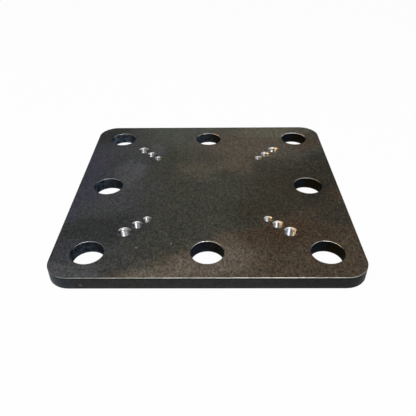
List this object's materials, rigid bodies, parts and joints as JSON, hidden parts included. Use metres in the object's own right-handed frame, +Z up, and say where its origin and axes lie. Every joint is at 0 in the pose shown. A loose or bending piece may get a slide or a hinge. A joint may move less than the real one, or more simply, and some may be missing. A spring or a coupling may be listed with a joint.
{
  "type": "vise adapter plate",
  "caption": "Square steel plate with rounded corners, clamping holes along its sides and tapped holes on its diagonals, to mount a bench vise on a welding table.",
  "frame": {"origin": "centre of the underside, on the table's surface", "axes": "+Z up out of the face that the vise stands on; X and Y along the plate's sides"},
  "size_m": [0.26, 0.26, 0.012],
  "materials": {
    "plate_steel": "hot-rolled, dark mill scale, with bright machined holes"
  },
  "bodies": {
    "root": {"adapter_plate": "plate_steel"}
  },
  "joints": []
}
